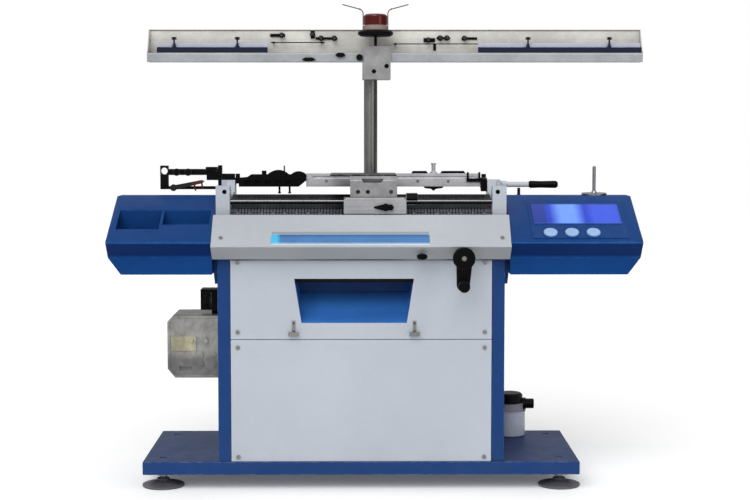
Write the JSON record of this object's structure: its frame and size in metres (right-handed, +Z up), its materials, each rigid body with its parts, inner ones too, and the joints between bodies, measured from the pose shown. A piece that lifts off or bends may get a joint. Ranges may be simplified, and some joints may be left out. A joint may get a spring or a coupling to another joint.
{
  "type": "glove knitting machine",
  "caption": "Glove knitting machine: blue and white cabinet on a footed base, knitting head with sliding carriage, side consoles with display, and a yarn beam with lamp on a mast.",
  "frame": {"origin": "on the floor under the feet, in the middle of the machine's overall outline", "axes": "+X along the needle beds to the right as seen from the front, +Y to the back, +Z up"},
  "size_m": [1.5384, 0.6144, 1.3884],
  "materials": {
    "blue_paint": "satin powder coat",
    "console_blue": "satin powder coat",
    "white_paint": "satin powder coat",
    "bed_iron": "ground",
    "needle_steel": "polished",
    "bright_steel": "polished",
    "mast_steel": "brushed",
    "foot_dark": "dull",
    "strip_blue": "gloss",
    "membrane": "satin",
    "screen": "gloss",
    "button_cap": "gloss",
    "rail_grey": "satin",
    "carriage_iron": "machined",
    "black_metal": "semi gloss",
    "arm_red": "semi gloss",
    "black_plastic": "moulded",
    "belt_rubber": "matte",
    "beam_paint": "satin",
    "bar_navy": "satin",
    "lamp_beige": "satin",
    "lens_red": "gloss",
    "cast_aluminium": "cast",
    "can_grey": "satin"
  },
  "bodies": {
    "machine": {"base_plate": "blue_paint", "levelling_feet": "foot_dark", "foot_nuts": "mast_steel", "side_panels": "blue_paint", "back_panel": "blue_paint", "bed_table": "bed_iron", "upper_front_panel": "white_paint", "lower_front_panel": "white_paint", "panel_screws": "mast_steel", "glove_chute": "console_blue", "bag_hooks": "mast_steel", "head_casing": "white_paint", "casing_strip": "strip_blue", "left_console": "console_blue", "right_console": "console_blue", "console_brackets": "blue_paint", "display_panel": "membrane", "lcd_screen": "screen", "yarn_spindle": "bright_steel", "end_brackets": "white_paint", "front_needle_bed": "bed_iron", "rear_needle_bed": "bed_iron", "needles": "needle_steel", "guide_rods": "bright_steel", "top_rail": "rail_grey", "rail_end_block": "black_metal", "yarn_change_unit": "black_metal", "feed_frame": "black_metal", "mast": "mast_steel", "mast_foot": "bed_iron", "beam_clamp": "rail_grey", "yarn_beam": "beam_paint", "beam_strips": "bar_navy", "guide_posts": "bar_navy", "tension_units": "black_metal", "guide_wires": "needle_steel", "lamp_flange": "black_metal", "lamp_base": "lamp_beige", "lamp_lens": "lens_red", "stop_wires": "arm_red", "control_box": "cast_aluminium", "control_box_cover": "cast_aluminium", "switch_box": "black_metal", "vacuum_can": "can_grey", "vacuum_lid": "black_metal", "drive_motor": "black_metal", "drive_belt": "belt_rubber"},
    "carriage": {"carriage_body": "carriage_iron", "carriage_bridge": "rail_grey", "carriage_cover": "rail_grey"},
    "stitch_knob": {"carriage_knob": "black_plastic"},
    "crank": {"crank_arm": "black_plastic"},
    "crank_handle": {"crank_grip": "black_plastic"},
    "idler": {"idler_pulley": "mast_steel"},
    "latch": {"latch_knob": "black_plastic"},
    "start_key": {"start_button": "button_cap"},
    "stop_key": {"stop_button": "button_cap"},
    "reset_key": {"reset_button": "button_cap"},
    "feed_lever": {"feed_arm": "arm_red"},
    "rail_lever": {"rail_handle": "black_plastic"}
  },
  "joints": [
    {"name": "carriage_slide", "type": "slide", "parent": "machine", "child": "carriage", "axis": [1, 0, 0], "range_m": [-0.315, 0.2]},
    {"name": "crank_turn", "type": "hinge", "parent": "machine", "child": "crank", "pos_m": [0.22325, -0.24475, 0.668], "axis": [0, 1, 0], "range_deg": [-575, 366]},
    {"name": "idler_turn", "type": "hinge", "parent": "machine", "child": "idler", "pos_m": [-0.39075, -0.12275, 0.668], "axis": [0, 1, 0], "range_deg": [-575, 366]},
    {"name": "grip_spin", "type": "hinge", "parent": "crank", "child": "crank_handle", "pos_m": [0.22125, -0.26975, 0.594], "axis": [0, 1, 0], "continuous": true},
    {"name": "stitch_knob_turn", "type": "hinge", "parent": "carriage", "child": "stitch_knob", "pos_m": [0.00875, -0.13475, 0.803], "axis": [0, 1, 0], "range_deg": [-30, 30]},
    {"name": "latch_turn", "type": "hinge", "parent": "machine", "child": "latch", "pos_m": [0.10825, -0.20475, 0.671], "axis": [0, 1, 0], "range_deg": [0, 90]},
    {"name": "feed_arm_swing", "type": "hinge", "parent": "machine", "child": "feed_lever", "pos_m": [-0.61575, 0.09525, 0.85], "axis": [0, 1, 0], "range_deg": [-10, 10]},
    {"name": "rail_handle_turn", "type": "hinge", "parent": "machine", "child": "rail_lever", "pos_m": [0.35925, 0.10825, 0.859], "axis": [1, 0, 0], "range_deg": [-40, 40]},
    {"name": "start_press", "type": "slide", "parent": "machine", "child": "start_key", "axis": [0, 0.4503, -0.8929], "range_m": [0, 0.0015], "stiffness_N_per_m": 400, "springref_m": -0.002},
    {"name": "stop_press", "type": "slide", "parent": "machine", "child": "stop_key", "axis": [0, 0.4503, -0.8929], "range_m": [0, 0.0015], "stiffness_N_per_m": 400, "springref_m": -0.002},
    {"name": "reset_press", "type": "slide", "parent": "machine", "child": "reset_key", "axis": [0, 0.4503, -0.8929], "range_m": [0, 0.0015], "stiffness_N_per_m": 400, "springref_m": -0.002}
  ],
  "couplings": [
    {"joint": "crank_turn", "follows": "carriage_slide", "rad_per_m": 31.746},
    {"joint": "idler_turn", "follows": "carriage_slide", "rad_per_m": 31.746}
  ]
}
